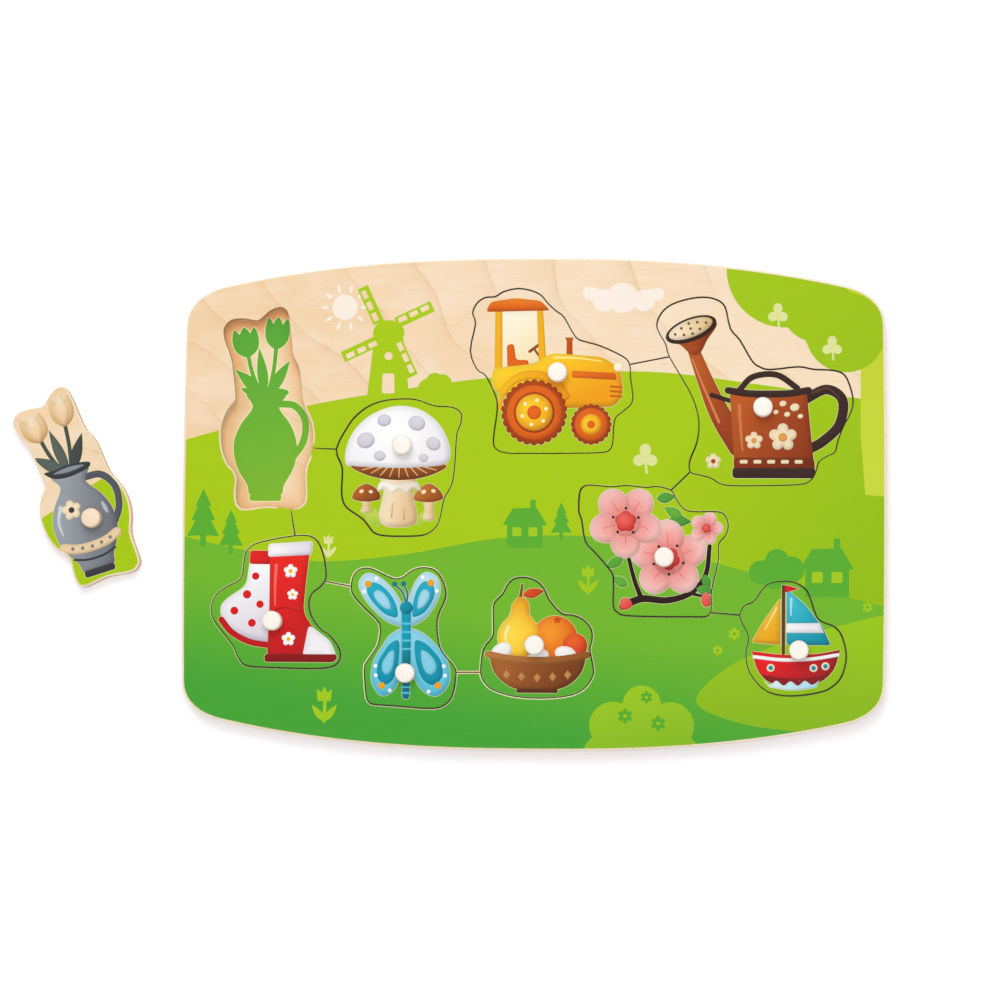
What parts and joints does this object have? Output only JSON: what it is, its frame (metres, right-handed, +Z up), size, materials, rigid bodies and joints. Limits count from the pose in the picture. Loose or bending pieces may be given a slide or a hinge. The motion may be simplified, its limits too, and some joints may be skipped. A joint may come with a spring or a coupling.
{
  "type": "peg puzzle",
  "caption": "Wooden peg puzzle: a plywood board with sawn openings and lift-out picture pieces that each carry a turned peg.",
  "frame": {"origin": "centre of the board's underside, on the table", "axes": "+X along the board's length towards the picture's right, +Y towards its far long edge, +Z up through the pegs"},
  "size_m": [0.375, 0.21, 0.015],
  "materials": {
    "frame_print": "printed birch plywood, satin varnish",
    "birch_ply": "sanded birch plywood, matt varnish",
    "jug_print": "printed birch plywood, satin varnish",
    "mushroom_print": "printed birch plywood, satin varnish",
    "tractor_print": "printed birch plywood, satin varnish",
    "watering_can_print": "printed birch plywood, satin varnish",
    "boots_print": "printed birch plywood, satin varnish",
    "butterfly_print": "printed birch plywood, satin varnish",
    "fruit_bowl_print": "printed birch plywood, satin varnish",
    "blossoms_print": "printed birch plywood, satin varnish",
    "sailboat_print": "printed birch plywood, satin varnish",
    "peg_wood": "turned birch, bare and sanded"
  },
  "bodies": {
    "board": {"frame_board": "frame_print", "backing_board": "birch_ply"},
    "jug": {"jug_piece": "jug_print", "jug_peg": "peg_wood"},
    "mushroom": {"mushroom_piece": "mushroom_print", "mushroom_peg": "peg_wood"},
    "tractor": {"tractor_piece": "tractor_print", "tractor_peg": "peg_wood"},
    "watering_can": {"watering_can_piece": "watering_can_print", "watering_can_peg": "peg_wood"},
    "boots": {"boots_piece": "boots_print", "boots_peg": "peg_wood"},
    "butterfly": {"butterfly_piece": "butterfly_print", "butterfly_peg": "peg_wood"},
    "fruit_bowl": {"fruit_bowl_piece": "fruit_bowl_print", "fruit_bowl_peg": "peg_wood"},
    "blossoms": {"blossoms_piece": "blossoms_print", "blossoms_peg": "peg_wood"},
    "sailboat": {"sailboat_piece": "sailboat_print", "sailboat_peg": "peg_wood"}
  },
  "joints": [
    {"name": "jug_lift", "type": "slide", "parent": "board", "child": "jug", "axis": [0, 0, 1], "range_m": [0, 0.03]},
    {"name": "mushroom_lift", "type": "slide", "parent": "board", "child": "mushroom", "axis": [0, 0, 1], "range_m": [0, 0.03]},
    {"name": "tractor_lift", "type": "slide", "parent": "board", "child": "tractor", "axis": [0, 0, 1], "range_m": [0, 0.03]},
    {"name": "watering_can_lift", "type": "slide", "parent": "board", "child": "watering_can", "axis": [0, 0, 1], "range_m": [0, 0.03]},
    {"name": "boots_lift", "type": "slide", "parent": "board", "child": "boots", "axis": [0, 0, 1], "range_m": [0, 0.03]},
    {"name": "butterfly_lift", "type": "slide", "parent": "board", "child": "butterfly", "axis": [0, 0, 1], "range_m": [0, 0.03]},
    {"name": "fruit_bowl_lift", "type": "slide", "parent": "board", "child": "fruit_bowl", "axis": [0, 0, 1], "range_m": [0, 0.03]},
    {"name": "blossoms_lift", "type": "slide", "parent": "board", "child": "blossoms", "axis": [0, 0, 1], "range_m": [0, 0.03]},
    {"name": "sailboat_lift", "type": "slide", "parent": "board", "child": "sailboat", "axis": [0, 0, 1], "range_m": [0, 0.03]}
  ]
}
